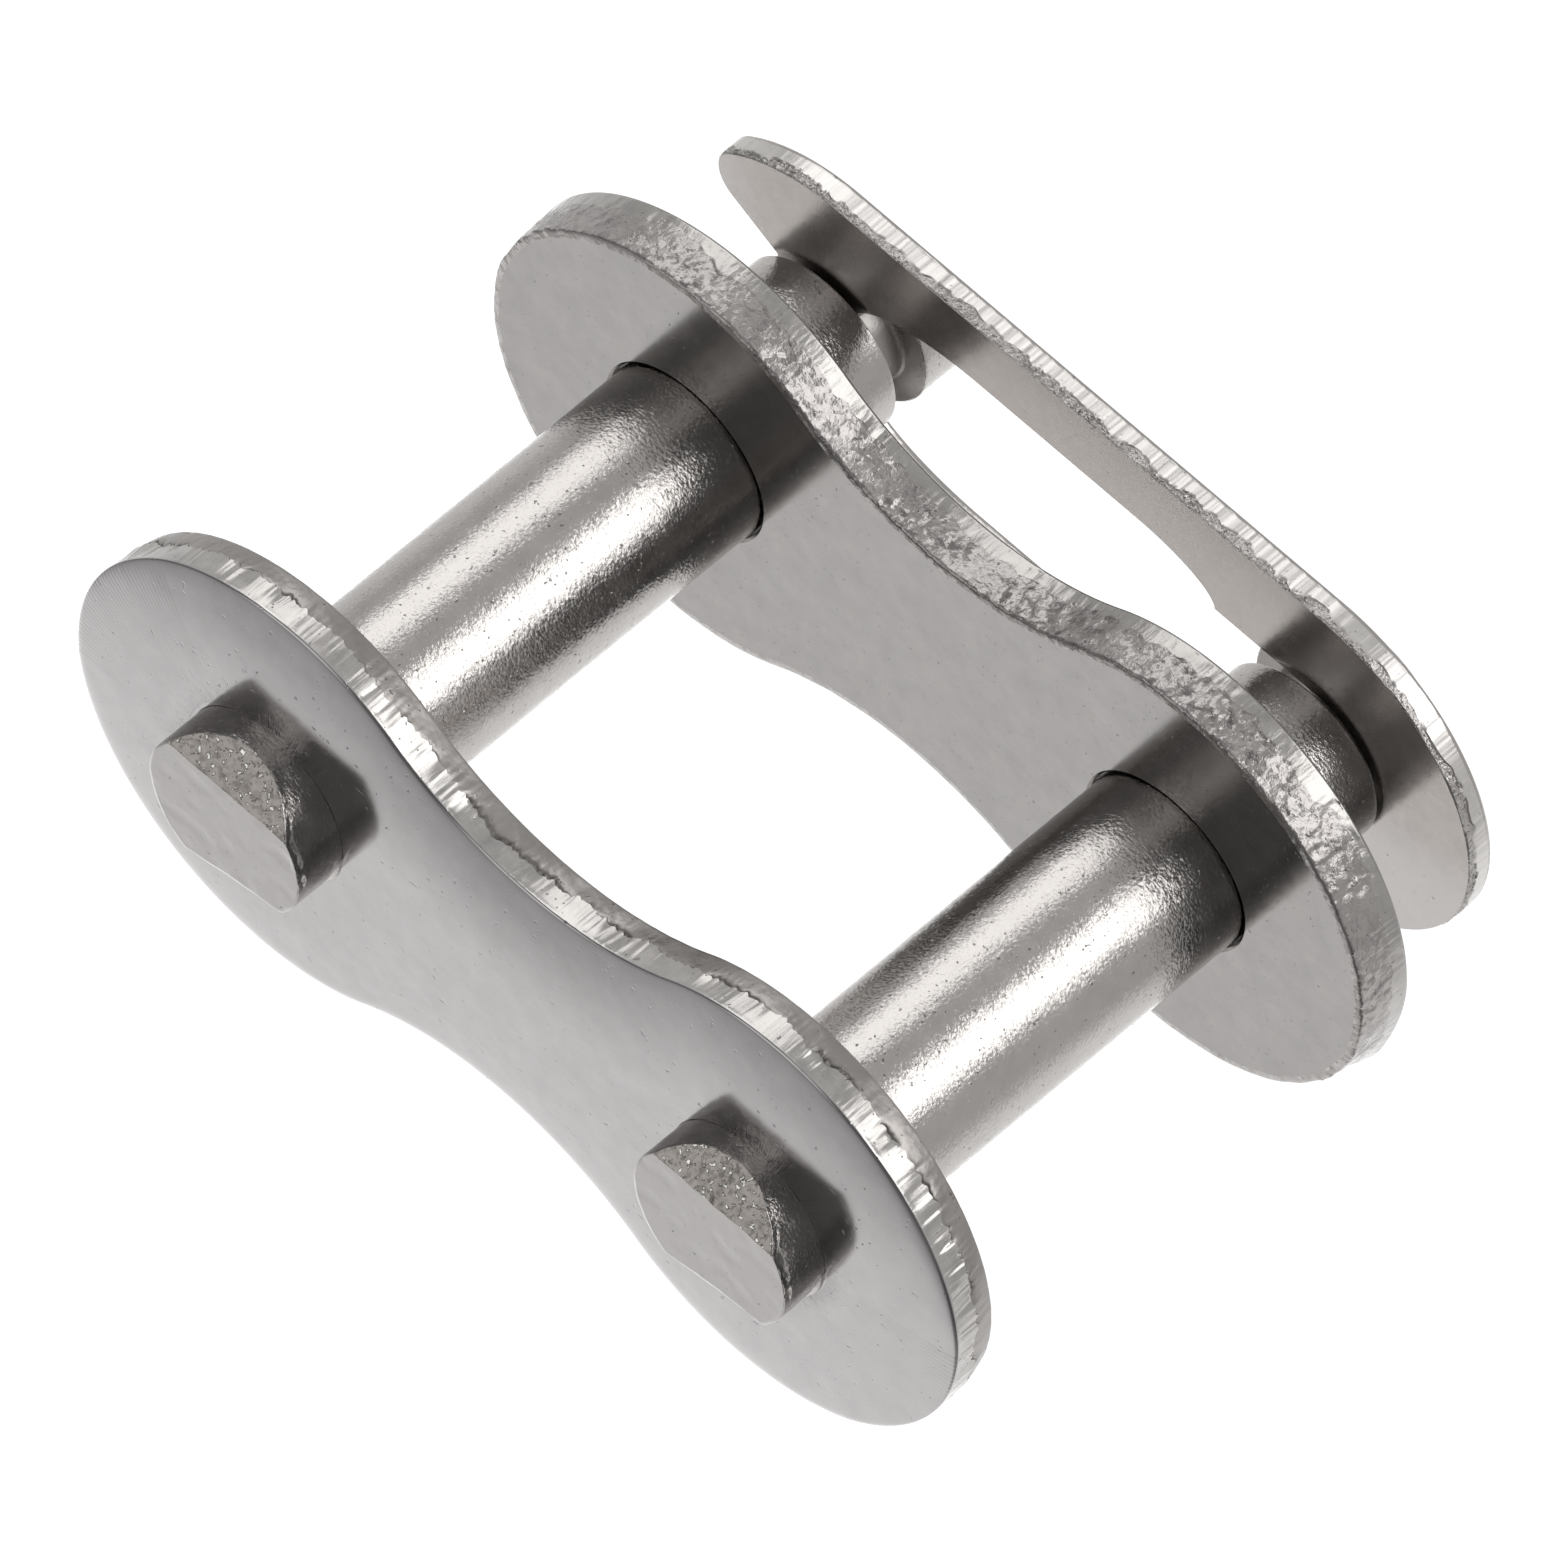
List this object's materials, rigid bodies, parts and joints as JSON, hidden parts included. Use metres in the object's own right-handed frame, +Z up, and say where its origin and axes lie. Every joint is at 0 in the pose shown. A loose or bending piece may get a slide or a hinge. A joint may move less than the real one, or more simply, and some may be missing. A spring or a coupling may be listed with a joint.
{
  "type": "roller chain connecting link",
  "caption": "Half-inch roller chain connecting link: waisted plate with two grooved pins, loose cover plate and horseshoe spring clip.",
  "frame": {"origin": "middle of the bounding box, at the bottom: on the surface under the lower round ends of both plates", "axes": "+X along the pitch from pin_1 to pin_2, +Y along the pins from the pin plate to the clip, +Z up across the plates' height"},
  "size_m": [0.023, 0.018, 0.0103],
  "materials": {
    "pin_plate_steel": "tumbled satin faces with a bright burnished blanked edge",
    "pin_steel": "drawn and tumbled, grainy satin, sheared ends",
    "cover_plate_steel": "tumbled satin faces with a torn blanked edge",
    "spring_clip_steel": "smooth cold-rolled spring strip with a blanked edge"
  },
  "bodies": {
    "link": {"pin_plate": "pin_plate_steel", "pin_1": "pin_steel", "pin_2": "pin_steel", "spring_clip": "spring_clip_steel"},
    "cover": {"cover_plate": "cover_plate_steel"}
  },
  "joints": [
    {"name": "cover_slide", "type": "slide", "parent": "link", "child": "cover", "axis": [0, 1, 0], "range_m": [-0.0098, 0.0025]}
  ]
}
